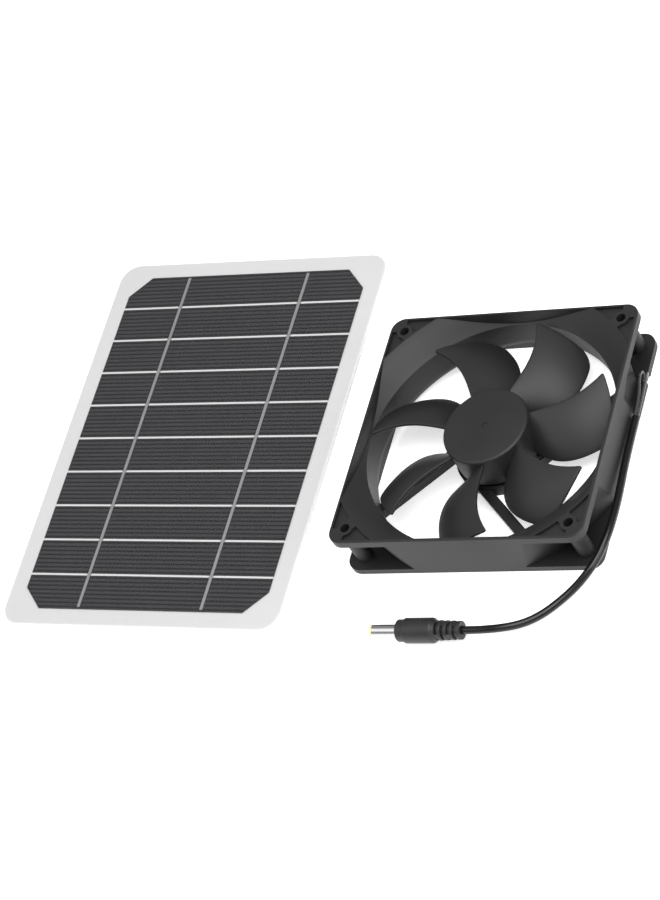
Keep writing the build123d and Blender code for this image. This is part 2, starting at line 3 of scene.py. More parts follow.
import bmesh
import bpy
from mathutils import Matrix, Vector


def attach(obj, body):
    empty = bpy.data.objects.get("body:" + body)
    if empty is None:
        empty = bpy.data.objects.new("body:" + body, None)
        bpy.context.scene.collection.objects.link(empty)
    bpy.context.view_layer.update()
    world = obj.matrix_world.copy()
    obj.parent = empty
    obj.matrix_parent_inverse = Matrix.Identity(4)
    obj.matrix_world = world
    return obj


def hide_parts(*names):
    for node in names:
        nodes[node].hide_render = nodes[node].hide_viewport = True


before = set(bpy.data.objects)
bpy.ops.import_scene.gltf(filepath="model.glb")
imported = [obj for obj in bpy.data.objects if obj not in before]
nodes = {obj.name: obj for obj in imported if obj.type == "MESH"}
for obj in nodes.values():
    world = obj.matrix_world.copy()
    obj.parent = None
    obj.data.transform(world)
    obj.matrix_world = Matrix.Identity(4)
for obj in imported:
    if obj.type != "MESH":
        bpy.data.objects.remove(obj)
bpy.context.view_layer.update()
scene = bpy.context.scene
scene.view_settings.view_transform = "Standard"


# ---- Room: a pale light-table floor, a broad overhead softbox and three weaker lights around it ----
# The floor is a plain sheet at the height the fan and the panel lie on, faintly lit from within.
def link(name, data):
    """A new object in the scene, at the origin."""
    piece = bpy.data.objects.new(name, data)
    scene.collection.objects.link(piece)
    return piece


def new_material(name):
    """A node material and its Principled shader."""
    material = bpy.data.materials.new(name)
    material.use_nodes = True
    return material, material.node_tree.nodes["Principled BSDF"]


floor_shape = bmesh.new()
bmesh.ops.create_grid(floor_shape, x_segments=2, y_segments=2, size=6.0)
floor_mesh = bpy.data.meshes.new("floor")
floor_shape.to_mesh(floor_mesh)
floor_shape.free()
floor = link("floor", floor_mesh)
floor_paint, floor_shader = new_material("floor_paint")
floor_shader.inputs["Base Color"].default_value = (0.94, 0.94, 0.94, 1)
floor_shader.inputs["Emission Color"].default_value = (1.0, 1.0, 1.0, 1)
floor_shader.inputs["Emission Strength"].default_value = 0.6
floor_shader.inputs["Roughness"].default_value = 0.9
floor_mesh.materials.append(floor_paint)

world = bpy.data.worlds.new("studio")
world.use_nodes = True
world.node_tree.nodes["Background"].inputs["Color"].default_value = (1.0, 1.0, 1.0, 1)
world.node_tree.nodes["Background"].inputs["Strength"].default_value = 0.45
scene.world = world


def softbox(name, place, aim, size, power):
    """A square area light that looks at a point."""
    lamp = bpy.data.lights.new(name, "AREA")
    lamp.size = size
    lamp.energy = power
    holder = link(name, lamp)
    holder.location = place
    holder.rotation_euler = (Vector(aim) - Vector(place)).to_track_quat("-Z", "Y").to_euler()


softbox("overhead", (0.4, -0.1, 1.35), (-0.05, 0, 0), 1.1, 19)
softbox("right_side", (1.2, -0.4, 0.75), (0, 0, 0), 0.9, 7)
softbox("near_side", (0.4, -1.3, 0.8), (-0.02, 0, 0), 0.9, 2)
softbox("left_side", (-0.8, -0.5, 1.0), (0, 0, 0), 0.9, 4)

camera = link("camera", bpy.data.cameras.new("camera"))
camera.location = (0.5656, -0.6700, 0.9327)
camera.rotation_euler = (radians(39.034), radians(25.084), radians(16.448))
camera.data.sensor_width = 36
camera.data.lens = 117.96
scene.camera = camera


# ---- Fan frame: one injection moulding of charcoal plastic with a fine satin grain ----
# Flanges, duct, struts and motor base come out of one mould, so one finish runs over all of them.
def nodes_of(group_or_material):
    """Short ways to add a node and to join two sockets in a tree."""
    tree = getattr(group_or_material, "node_tree", group_or_material)

    def add(kind, **settings):
        node = tree.nodes.new(kind)
        for key, value in settings.items():
            setattr(node, key, value)
        return node

    return add, tree.links.new


def make_grain_group():
    """Fine moulding texture: a height for the bump and a slow tone for colour and roughness."""
    group = bpy.data.node_groups.new("moulding_grain", "ShaderNodeTree")
    group.interface.new_socket("Grain Scale", in_out="INPUT", socket_type="NodeSocketFloat")
    group.interface.new_socket("Tone Scale", in_out="INPUT", socket_type="NodeSocketFloat")
    group.interface.new_socket("Height", in_out="OUTPUT", socket_type="NodeSocketFloat")
    group.interface.new_socket("Tone", in_out="OUTPUT", socket_type="NodeSocketFloat")
    add, join = nodes_of(group)
    inside = add("NodeGroupInput")
    outside = add("NodeGroupOutput")
    place = add("ShaderNodeTexCoord")
    fine = add("ShaderNodeTexNoise")
    fine.inputs["Detail"].default_value = 3
    slow = add("ShaderNodeTexNoise")
    slow.inputs["Detail"].default_value = 4
    join(place.outputs["Object"], fine.inputs["Vector"])
    join(place.outputs["Object"], slow.inputs["Vector"])
    join(inside.outputs["Grain Scale"], fine.inputs["Scale"])
    join(inside.outputs["Tone Scale"], slow.inputs["Scale"])
    join(fine.outputs["Fac"], outside.inputs["Height"])
    join(slow.outputs["Fac"], outside.inputs["Tone"])
    return group


grain_group = make_grain_group()


def moulded_plastic(name, dark, light, roughness, grain=3200, depth=0.00002, tone=45, specular=0.4):
    """Satin moulded plastic: two close tones, uneven sheen and a fine grain."""
    material, shader = new_material(name)
    add, join = nodes_of(material)
    grain_node = add("ShaderNodeGroup", node_tree=grain_group)
    grain_node.inputs["Grain Scale"].default_value = grain
    grain_node.inputs["Tone Scale"].default_value = tone
    colour = add("ShaderNodeMix", data_type="RGBA")
    colour.inputs["A"].default_value = (*dark, 1)
    colour.inputs["B"].default_value = (*light, 1)
    sheen = add("ShaderNodeMapRange")
    sheen.inputs["To Min"].default_value = roughness - 0.06
    sheen.inputs["To Max"].default_value = roughness + 0.08
    bump = add("ShaderNodeBump")
    bump.inputs["Strength"].default_value = 0.6
    bump.inputs["Distance"].default_value = depth
    join(grain_node.outputs["Tone"], colour.inputs["Factor"])
    join(colour.outputs["Result"], shader.inputs["Base Color"])
    join(grain_node.outputs["Tone"], sheen.inputs["Value"])
    join(sheen.outputs["Result"], shader.inputs["Roughness"])
    join(grain_node.outputs["Height"], bump.inputs["Height"])
    join(bump.outputs["Normal"], shader.inputs["Normal"])
    shader.inputs["Specular IOR Level"].default_value = specular
    return material


def finish_node(node, material):
    """Give a CAD node its finish."""
    nodes[node].data.materials.clear()
    nodes[node].data.materials.append(material)


frame_plastic = moulded_plastic(
    "frame_plastic", (0.011, 0.011, 0.0115), (0.017, 0.017, 0.0178), 0.48, specular=0.36
)
finish_node("fan_frame", frame_plastic)

# ---- Impeller: hub cup and seven swept blades, moulded in one piece of the same charcoal plastic ----
# The cup is pressed over the steel yoke; each blade leaves it at a steep pitch and flattens towards its tip.
HUB_R = 0.0197
HUB_LOW = 0.0064
HUB_TOP = 0.023
CUP_R = 0.0182
CUP_TOP = 0.0215
BOSS_R = 0.0042
BOSS_LOW = 0.0179
SHAFT_R = 0.0015
SHAFT_TOP = 0.021
GATE_R = 0.0015
BLADES = 7
BLADE_HALF = 0.00072
SHARP = 35
# Radius in mm, then the angles of the leading and the trailing edge in degrees
blade_stations = [
    (18.9, 23.0, -11.0),
    (26.0, 20.8, -17.0),
    (35.0, 20.2, -16.5),
    (45.0, 22.6, -9.5),
    (57.0, 28.4, 1.5),
]


def edge_angle(radius, column):
    """The angle of one blade edge at a radius, on the smooth curve through all stations."""
    total = 0.0
    for here in blade_stations:
        share = here[column]
        for other in blade_stations:
            if other is not here:
                share *= (radius - other[0]) / (here[0] - other[0])
        total += share
    return total


def finished_mesh(name, shape):
    """Turn a bmesh into a mesh with outward normals and smooth shading over its gentle edges."""
    bmesh.ops.recalc_face_normals(shape, faces=shape.faces)
    for face in shape.faces:
        face.smooth = True
    for edge in shape.edges:
        edge.smooth = len(edge.link_faces) == 2 and edge.calc_face_angle(0) < radians(SHARP)
    mesh = bpy.data.meshes.new(name)
    shape.to_mesh(mesh)
    shape.free()
    return mesh


def rounded_outline(points, radius, steps=4):
    """A closed outline in one plane with every corner replaced by a short arc."""
    rounded = []
    count = len(points)
    for i in range(count):
        here = Vector(points[i])
        before = Vector(points[i - 1]) - here
        after = Vector(points[(i + 1) % count]) - here
        reach = min(radius, 0.45 * before.length, 0.45 * after.length)
        first = here + before.normalized() * reach
        last = here + after.normalized() * reach
        for k in range(steps + 1):
            t = k / steps
            rounded.append(tuple(first * (1 - t) ** 2 + here * 2 * t * (1 - t) + last * t**2))
    return rounded


impeller_shape = bmesh.new()
cup_outline = [
    (GATE_R, 0, HUB_TOP - 0.0003),
    (GATE_R, 0, HUB_TOP),
    (HUB_R - 0.0012, 0, HUB_TOP),
    (HUB_R - 0.0006, 0, HUB_TOP - 0.00016),
    (HUB_R - 0.00016, 0, HUB_TOP - 0.0006),
    (HUB_R, 0, HUB_TOP - 0.0012),
    (HUB_R, 0, HUB_LOW + 0.0002),
    (HUB_R - 0.0002, 0, HUB_LOW),
    (CUP_R + 0.0002, 0, HUB_LOW),
    (CUP_R, 0, HUB_LOW + 0.0002),
    (CUP_R, 0, CUP_TOP),
    (BOSS_R, 0, CUP_TOP),
    (BOSS_R, 0, BOSS_LOW),
    (SHAFT_R, 0, BOSS_LOW),
    (SHAFT_R, 0, SHAFT_TOP),
]
cup_line = [impeller_shape.verts.new(point) for point in cup_outline]
cup_edges = [impeller_shape.edges.new(pair) for pair in zip(cup_line, cup_line[1:])]
bmesh.ops.spin(
    impeller_shape,
    geom=cup_line + cup_edges,
    cent=(0, 0, 0),
    axis=(0, 0, 1),
    angle=2 * pi,
    steps=128,
    use_merge=True,
)
open_rims = [edge for edge in impeller_shape.edges if len(edge.link_faces) == 1]
bmesh.ops.holes_fill(impeller_shape, edges=open_rims, sides=0)

# One flat blade in millimetres, X out from the hub and Y across it, then bent into place
BLADE_ROOT = 18.9
BLADE_LENGTH = 36.7
BLADE_TIP = BLADE_ROOT + BLADE_LENGTH
BLADE_CHORD = 22.0
TRAILING_ROUND = 4.5
LEADING_ROUND = 1.2
TRAILING_HEIGHT = 8.2
LEADING_HEIGHT = 20.4
TIP_RISE = 1.8
CAMBER = 1.7
CUTS_OUT = 24
CUTS_ACROSS = 16
blade_shape = bmesh.new()
bmesh.ops.create_grid(blade_shape, x_segments=1, y_segments=1, size=0.5)
bmesh.ops.scale(blade_shape, vec=(BLADE_LENGTH, BLADE_CHORD, 1), verts=blade_shape.verts)
bmesh.ops.translate(
    blade_shape, vec=(BLADE_ROOT + BLADE_LENGTH / 2, BLADE_CHORD / 2, 0), verts=blade_shape.verts
)
for along, offset in ((0, TRAILING_ROUND), (BLADE_CHORD, LEADING_ROUND)):
    corner = [v for v in blade_shape.verts if v.co.x > BLADE_TIP - 0.1 and abs(v.co.y - along) < 0.1]
    bmesh.ops.bevel(
        blade_shape, geom=corner, offset=offset, segments=8, profile=0.5, affect="VERTICES", material=-1
    )
for i in range(1, CUTS_OUT):
    cut = Vector((BLADE_ROOT + BLADE_LENGTH * i / CUTS_OUT, 0, 0))
    parts = blade_shape.verts[:] + blade_shape.edges[:] + blade_shape.faces[:]
    bmesh.ops.bisect_plane(blade_shape, geom=parts, plane_co=cut, plane_no=(1, 0, 0))
for i in range(1, CUTS_ACROSS):
    cut = Vector((0, BLADE_CHORD * i / CUTS_ACROSS, 0))
    parts = blade_shape.verts[:] + blade_shape.edges[:] + blade_shape.faces[:]
    bmesh.ops.bisect_plane(blade_shape, geom=parts, plane_co=cut, plane_no=(0, 1, 0))
bmesh.ops.triangulate(blade_shape, faces=[face for face in blade_shape.faces if len(face.verts) > 4])
for vertex in blade_shape.verts:
    radius, along, _ = vertex.co
    share = along / BLADE_CHORD
    reach = (radius - HUB_R * 1000) / (BLADE_TIP - HUB_R * 1000)
    leading = edge_angle(radius, 1)
    trailing = edge_angle(radius, 2)
    angle = radians(trailing + (leading - trailing) * share)
    top = LEADING_HEIGHT + TIP_RISE * reach
    height = TRAILING_HEIGHT + (top - TRAILING_HEIGHT) * share + CAMBER * 4 * share * (1 - share)
    vertex.co = Vector((radius * cos(angle), radius * sin(angle), height)) / 1000
bmesh.ops.recalc_face_normals(blade_shape, faces=blade_shape.faces)
for vertex in blade_shape.verts:
    vertex.normal_update()
middle = [(vertex, vertex.co.copy(), vertex.normal.copy()) for vertex in blade_shape.verts]
for vertex, place, normal in middle:
    vertex.co = place - normal * BLADE_HALF
bmesh.ops.solidify(blade_shape, geom=blade_shape.faces, thickness=-2 * BLADE_HALF)
bmesh.ops.recalc_face_normals(blade_shape, faces=blade_shape.faces)
blade_rim = [edge for edge in blade_shape.edges if edge.calc_face_angle(0) > radians(60)]
bmesh.ops.bevel(
    blade_shape, geom=blade_rim, offset=0.0004, segments=3, profile=0.5, affect="EDGES", material=-1
)
blade_mesh = bpy.data.meshes.new("blade")
blade_shape.to_mesh(blade_mesh)
blade_shape.free()
for k in range(BLADES):
    fresh = bmesh.new()
    fresh.from_mesh(blade_mesh)
    bmesh.ops.rotate(
        fresh, cent=(0, 0, 0), matrix=Matrix.Rotation(2 * pi * k / BLADES, 3, "Z"), verts=fresh.verts
    )
    turned = bpy.data.meshes.new("turned")
    fresh.to_mesh(turned)
    fresh.free()
    impeller_shape.from_mesh(turned)
    bpy.data.meshes.remove(turned)
bpy.data.meshes.remove(blade_mesh)
impeller = link("impeller_moulding", finished_mesh("impeller_moulding", impeller_shape))
impeller_plastic = moulded_plastic(
    "impeller_plastic", (0.012, 0.012, 0.0125), (0.018, 0.018, 0.0188), 0.45, tone=60, specular=0.36
)
impeller.data.materials.append(impeller_plastic)
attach(impeller, "rotor")
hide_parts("impeller")

# ---- Power cord: round PVC jacket, 3.5 mm thick ----
# It leaves the two thin leads beside the frame, drops over the rear flange's corner and lies on the ground.
CORD_D = 0.0035
cord_points = [
    (0.06195, 0.0120, 0.0078),
    (0.06195, -0.0080, 0.0078),
    (0.0633, -0.0310, 0.0080),
    (0.0628, -0.0490, 0.0082),
    (0.0584, -0.0622, 0.0062),
    (0.0488, -0.0726, 0.0020),
    (0.0353, -0.0860, 0.0022),
    (0.0197, -0.0920, 0.0055),
    (0.0057, -0.0920, 0.0055),
]
cord_curve = bpy.data.curves.new("cord", "CURVE")
cord_curve.dimensions = "3D"
cord_line = cord_curve.splines.new("NURBS")
cord_line.points.add(len(cord_points) - 1)
for point, place in zip(cord_line.points, cord_points):
    point.co = (*place, 1)
cord_line.order_u = 3
cord_line.use_endpoint_u = True
cord_line.resolution_u = 16
cord_curve.bevel_depth = CORD_D / 2
cord_curve.bevel_resolution = 8
cord_curve.use_fill_caps = True
cord = link("cord", cord_curve)
cord_vinyl = moulded_plastic(
    "cord_vinyl", (0.004, 0.004, 0.004), (0.008, 0.008, 0.008), 0.17, 900, 0.00005, 120, 0.35
)
cord_curve.materials.append(cord_vinyl)
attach(cord, "fan")
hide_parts("power_cord")

# ---- Supply and return leads: two thin PVC-covered wires from the motor to the cord's jacket ----
# They lie in the groove under one strut and loop up through the notch in the rear flange.
lead_vinyl = moulded_plastic(
    "lead_vinyl", (0.03, 0.03, 0.031), (0.045, 0.045, 0.046), 0.26, 1500, 0.00002, 200, 0.9
)
finish_node("supply_lead", lead_vinyl)
finish_node("return_lead", lead_vinyl)

# ---- Barrel plug: soft moulded grip with a slit tail, nickel sleeve, pale nose ring and inner contact ----
# The tail is a row of thin ribs on a core, so that it bends with the cord; the sleeve is a turned tube.
PLUG_Y = -0.092
PLUG_Z = 0.0055
CORD_BORE = 1.76
RIB_FALL = 0.05
CORE_R = 2.9
SPINE = (1.9, 1.6, 2.5)
SPINE_OUT = 0.0033
plug_shape = bmesh.new()


def on_plug(along, radius):
    """A point above the plug's axis."""
    return (along, PLUG_Y, PLUG_Z + radius)


def plug_disc(shape, outline, round_off):
    """Add a solid turned about the plug's axis from (place along X, radius) pairs in millimetres."""
    points = rounded_outline([on_plug(x / 1000, r / 1000) for x, r in outline], round_off / 1000)
    start = [shape.verts.new(point) for point in points]
    edges = [shape.edges.new(pair) for pair in zip(start, start[1:] + start[:1])]
    bmesh.ops.spin(
        shape,
        geom=start + edges,
        cent=(0, PLUG_Y, PLUG_Z),
        axis=(1, 0, 0),
        angle=2 * pi,
        steps=72,
        use_merge=True,
    )


grip_outline = [
    (-24.2, 3.12),
    (-24.2, 4.83),
    (-20.9, 4.83),
    (-20.6, 5.48),
    (-7.5, 5.48),
    (-6.2, 4.4),
    (-5.8, 4.4),
    (-5.8, CORD_BORE),
    (-20.2, CORD_BORE),
    (-20.2, 3.12),
]
plug_disc(plug_shape, grip_outline, 0.45)
for start, end, radius in ((-4.5, -3.0, 4.38), (-1.7, -0.2, 4.28), (1.1, 2.6, 4.18), (3.9, 5.7, 4.05)):
    rib = [(start, CORD_BORE), (start, radius), (end, radius - RIB_FALL), (end, CORD_BORE)]
    plug_disc(plug_shape, rib, 0.3)
plug_disc(plug_shape, [(-6.4, 1.77), (-6.4, CORE_R), (4.4, CORE_R), (4.4, 1.77)], 0.02)
for start, spine_turn in ((-5.8, 165), (-3.0, 75), (-0.2, 165), (2.6, 75)):
    for side in (1, -1):
        spine = bmesh.ops.create_cube(plug_shape, size=0.001)["verts"]
        bmesh.ops.scale(plug_shape, vec=SPINE, verts=spine)
        bmesh.ops.translate(plug_shape, vec=(0, side * SPINE_OUT, 0), verts=spine)
        turn = Matrix.Rotation(radians(spine_turn), 3, "X")
        bmesh.ops.rotate(plug_shape, cent=(0, 0, 0), matrix=turn, verts=spine)
        bmesh.ops.translate(plug_shape, vec=((start + 0.65) / 1000, PLUG_Y, PLUG_Z), verts=spine)
plug_moulding = link("plug_moulding", finished_mesh("plug_moulding", plug_shape))
plug_vinyl = moulded_plastic(
    "plug_vinyl", (0.012, 0.012, 0.0125), (0.02, 0.02, 0.0208), 0.45, 2600, 0.00004, 160
)
plug_moulding.data.materials.append(plug_vinyl)
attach(plug_moulding, "fan")
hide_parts("plug_grip")


def bare_metal(name, dark, light, roughness, stretch, scale=60, depth=0.00001):
    """Machined or plated metal: fine lines along one direction in tone, sheen and height."""
    material, shader = new_material(name)
    add, join = nodes_of(material)
    place = add("ShaderNodeTexCoord")
    squeeze = add("ShaderNodeMapping")
    squeeze.inputs["Scale"].default_value = stretch
    lines = add("ShaderNodeTexNoise")
    lines.inputs["Scale"].default_value = scale
    lines.inputs["Detail"].default_value = 5
    colour = add("ShaderNodeMix", data_type="RGBA")
    colour.inputs["A"].default_value = (*dark, 1)
    colour.inputs["B"].default_value = (*light, 1)
    sheen = add("ShaderNodeMapRange")
    sheen.inputs["To Min"].default_value = roughness - 0.07
    sheen.inputs["To Max"].default_value = roughness + 0.1
    bump = add("ShaderNodeBump")
    bump.inputs["Strength"].default_value = 0.4
    bump.inputs["Distance"].default_value = depth
    join(place.outputs["Object"], squeeze.inputs["Vector"])
    join(squeeze.outputs["Vector"], lines.inputs["Vector"])
    join(lines.outputs["Fac"], colour.inputs["Factor"])
    join(colour.outputs["Result"], shader.inputs["Base Color"])
    join(lines.outputs["Fac"], sheen.inputs["Value"])
    join(sheen.outputs["Result"], shader.inputs["Roughness"])
    join(lines.outputs["Fac"], bump.inputs["Height"])
    join(bump.outputs["Normal"], shader.inputs["Normal"])
    shader.inputs["Metallic"].default_value = 1.0
    return material


sleeve_nickel = bare_metal("sleeve_nickel", (0.42, 0.42, 0.43), (0.56, 0.56, 0.57), 0.22, (60, 4, 4))
finish_node("plug_sleeve", sleeve_nickel)
ring_nylon = moulded_plastic("ring_nylon", (0.62, 0.58, 0.36), (0.7, 0.66, 0.42), 0.45, 2400, 0.00001, 200)
finish_node("plug_insulator", ring_nylon)
contact_tin = bare_metal("contact_tin", (0.5, 0.48, 0.42), (0.6, 0.58, 0.5), 0.3, (60, 4, 4))
finish_node("plug_contact", contact_tin)

# ---- Bearing tube and bearings: turned brass tube with a ball bearing pressed into each end ----
# The bearings' rings are ground steel and their shields are pressed sheet.
tube_brass = bare_metal("tube_brass", (0.62, 0.42, 0.16), (0.72, 0.52, 0.24), 0.3, (4, 4, 60))
finish_node("bearing_tube", tube_brass)
bearing_steel = bare_metal("bearing_steel", (0.5, 0.5, 0.51), (0.62, 0.62, 0.63), 0.24, (5, 5, 70))
finish_node("rear_bearing", bearing_steel)
finish_node("front_bearing", bearing_steel)


# ---- Circuit board: a ring of glass laminate under green solder mask, with copper tracks below it ----
# The driver chip and the sensor are moulded black epoxy and the capacitor is a tan ceramic block.
def solder_mask(name):
    """Green mask that shows copper tracks as slightly lighter, raised lines."""
    material, shader = new_material(name)
    add, join = nodes_of(material)
    place = add("ShaderNodeTexCoord")
    tracks = add("ShaderNodeTexBrick")
    tracks.inputs["Scale"].default_value = 260
    tracks.inputs["Mortar Size"].default_value = 0.06
    tracks.inputs["Color1"].default_value = (0.012, 0.085, 0.03, 1)
    tracks.inputs["Color2"].default_value = (0.016, 0.1, 0.036, 1)
    tracks.inputs["Mortar"].default_value = (0.035, 0.17, 0.06, 1)
    bump = add("ShaderNodeBump")
    bump.inputs["Strength"].default_value = 0.4
    bump.inputs["Distance"].default_value = 0.00003
    join(place.outputs["Object"], tracks.inputs["Vector"])
    join(tracks.outputs["Color"], shader.inputs["Base Color"])
    join(tracks.outputs["Fac"], bump.inputs["Height"])
    join(bump.outputs["Normal"], shader.inputs["Normal"])
    shader.inputs["Roughness"].default_value = 0.32
    return material


board_green = solder_mask("board_green")
finish_node("circuit_board", board_green)
chip_epoxy = moulded_plastic(
    "chip_epoxy", (0.015, 0.015, 0.015), (0.028, 0.028, 0.028), 0.55, 5000, 0.00002, 300
)
finish_node("driver_chip", chip_epoxy)
finish_node("hall_sensor", chip_epoxy)
capacitor_ceramic = moulded_plastic(
    "capacitor_ceramic", (0.4, 0.28, 0.14), (0.5, 0.36, 0.19), 0.5, 4000, 0.00001, 500
)
finish_node("filter_capacitor", capacitor_ceramic)

# ---- Stator: stamped steel laminations between two white nylon insulators, wound with enamelled wire ----
# The laminations are stacked along the fan's axis, so the stack shows fine lines around its edge.
core_steel = bare_metal("core_steel", (0.2, 0.2, 0.21), (0.34, 0.34, 0.35), 0.42, (1, 1, 80), 45, 0.00004)
finish_node("stator_core", core_steel)
insulator_nylon = moulded_plastic("insulator_nylon", (0.6, 0.58, 0.5), (0.68, 0.66, 0.58), 0.5)
finish_node("upper_insulator", insulator_nylon)
finish_node("lower_insulator", insulator_nylon)


def wound_wire(name):
    """Enamelled copper wire in tight turns: a row of rounded ridges with a varnish gloss."""
    material, shader = new_material(name)
    add, join = nodes_of(material)
    place = add("ShaderNodeTexCoord")
    turns = add("ShaderNodeTexWave", wave_type="RINGS", rings_direction="Z")
    turns.inputs["Scale"].default_value = 620
    turns.inputs["Distortion"].default_value = 0.6
    colour = add("ShaderNodeMix", data_type="RGBA")
    colour.inputs["A"].default_value = (0.22, 0.07, 0.025, 1)
    colour.inputs["B"].default_value = (0.55, 0.23, 0.09, 1)
    bump = add("ShaderNodeBump")
    bump.inputs["Strength"].default_value = 0.8
    bump.inputs["Distance"].default_value = 0.0001
    join(place.outputs["Object"], turns.inputs["Vector"])
    join(turns.outputs["Fac"], colour.inputs["Factor"])
    join(colour.outputs["Result"], shader.inputs["Base Color"])
    join(turns.outputs["Fac"], bump.inputs["Height"])
    join(bump.outputs["Normal"], shader.inputs["Normal"])
    shader.inputs["Metallic"].default_value = 0.8
    shader.inputs["Roughness"].default_value = 0.3
    return material


coil_copper = wound_wire("coil_copper")
finish_node("stator_coils", coil_copper)

# ---- Rear label: a blank foil disc stuck over the bearing hole ----
# The foil is thin and slightly wavy over the moulding.
label_foil = bare_metal("label_foil", (0.5, 0.5, 0.51), (0.6, 0.6, 0.61), 0.36, (1, 1, 1), 120, 0.00008)
finish_node("rear_label", label_foil)

# ---- Rotor steel: deep-drawn yoke, ground shaft, snap clip and preload spring ----
# The yoke is zinc plated and sits in the hub cup; the clip and the spring are spring steel.
yoke_zinc = bare_metal("yoke_zinc", (0.42, 0.42, 0.4), (0.56, 0.56, 0.53), 0.38, (3, 3, 12))
finish_node("rotor_yoke", yoke_zinc)
shaft_steel = bare_metal("shaft_steel", (0.55, 0.55, 0.56), (0.68, 0.68, 0.69), 0.18, (5, 5, 90))
finish_node("rotor_shaft", shaft_steel)
spring_steel = bare_metal("spring_steel", (0.32, 0.32, 0.34), (0.45, 0.45, 0.47), 0.3, (8, 8, 8))
finish_node("shaft_clip", spring_steel)
finish_node("preload_spring", spring_steel)

# ---- Ring magnet: rubber-bonded ferrite strip inside the yoke ----
# It is dark, dull and slightly speckled.
magnet_ferrite = moulded_plastic(
    "magnet_ferrite", (0.022, 0.02, 0.019), (0.05, 0.047, 0.044), 0.7, 3800, 0.00004, 700
)
finish_node("rotor_magnet", magnet_ferrite)

# ---- Panel back board: white glass-epoxy laminate ----
# It shows through the clear resin as the panel's pale border and as the lines between the cells.
PANEL_FOOT = (-0.1617, -0.0866, 0)
PANEL_TILT = 3.394
PANEL_TURN = -2.0


def panel_place(add, join):
    """Coordinates with X across the panel, Y up from its lower edge and Z out of its back face."""
    place = add("ShaderNodeTexCoord")
    square = add("ShaderNodeMapping", vector_type="TEXTURE")
    square.inputs["Location"].default_value = PANEL_FOOT
    square.inputs["Rotation"].default_value = (radians(PANEL_TILT), 0, radians(PANEL_TURN))
    join(place.outputs["Object"], square.inputs["Vector"])
    return square.outputs["Vector"]


def white_laminate(name):
    """White solder mask over woven glass: a faint weave in tone and height."""
    material, shader = new_material(name)
    add, join = nodes_of(material)
    place = panel_place(add, join)
    weave = add("ShaderNodeTexChecker")
    weave.inputs["Scale"].default_value = 1400
    cloud = add("ShaderNodeTexNoise")
    cloud.inputs["Scale"].default_value = 25
    cloud.inputs["Detail"].default_value = 6
    colour = add("ShaderNodeMix", data_type="RGBA")
    colour.inputs["A"].default_value = (0.69, 0.69, 0.695, 1)
    colour.inputs["B"].default_value = (0.76, 0.76, 0.765, 1)
    bump = add("ShaderNodeBump")
    bump.inputs["Strength"].default_value = 0.15
    bump.inputs["Distance"].default_value = 0.00002
    join(place, weave.inputs["Vector"])
    join(place, cloud.inputs["Vector"])
    join(cloud.outputs["Fac"], colour.inputs["Factor"])
    join(colour.outputs["Result"], shader.inputs["Base Color"])
    join(weave.outputs["Fac"], bump.inputs["Height"])
    join(bump.outputs["Normal"], shader.inputs["Normal"])
    shader.inputs["Roughness"].default_value = 0.5
    return material


board_white = white_laminate("board_white")
finish_node("back_board", board_white)


# ---- Cell strips: ten rows of dark silicon with fine printed fingers across each row ----
# Eight fingers run along every strip, at right angles to the two busbars.
ROW_FOOT = 0.008
ROW_PITCH = 0.01825
FINGER_PITCH = 0.01725 / 8


def printed_silicon(name):
    """Dark silicon with evenly spaced printed lines, which follow the strip they lie on."""
    material, shader = new_material(name)
    add, join = nodes_of(material)
    place = panel_place(add, join)
    parts = add("ShaderNodeSeparateXYZ")
    from_foot = add("ShaderNodeMath", operation="SUBTRACT")
    from_foot.inputs[1].default_value = ROW_FOOT
    in_row = add("ShaderNodeMath", operation="MODULO")
    in_row.inputs[1].default_value = ROW_PITCH
    finger = add("ShaderNodeMath", operation="PINGPONG")
    finger.inputs[1].default_value = FINGER_PITCH / 2
    line = add("ShaderNodeMapRange", interpolation_type="SMOOTHSTEP")
    line.inputs["From Min"].default_value = FINGER_PITCH * 0.2
    line.inputs["From Max"].default_value = FINGER_PITCH * 0.42
    streaks = add("ShaderNodeTexNoise")
    streaks.inputs["Scale"].default_value = 90
    streaks.inputs["Detail"].default_value = 4
    ground = add("ShaderNodeMix", data_type="RGBA")
    ground.inputs["A"].default_value = (0.036, 0.036, 0.038, 1)
    ground.inputs["B"].default_value = (0.05, 0.05, 0.053, 1)
    colour = add("ShaderNodeMix", data_type="RGBA")
    colour.inputs["B"].default_value = (0.009, 0.009, 0.01, 1)
    join(place, parts.inputs["Vector"])
    join(place, streaks.inputs["Vector"])
    join(parts.outputs["Y"], from_foot.inputs[0])
    join(from_foot.outputs["Value"], in_row.inputs[0])
    join(in_row.outputs["Value"], finger.inputs[0])
    join(finger.outputs["Value"], line.inputs["Value"])
    join(streaks.outputs["Fac"], ground.inputs["Factor"])
    join(ground.outputs["Result"], colour.inputs["A"])
    join(line.outputs["Result"], colour.inputs["Factor"])
    join(colour.outputs["Result"], shader.inputs["Base Color"])
    shader.inputs["Roughness"].default_value = 0.4
    shader.inputs["Specular IOR Level"].default_value = 0.2
    return material


cell_silicon = printed_silicon("cell_silicon")
finish_node("cell_strips", cell_silicon)

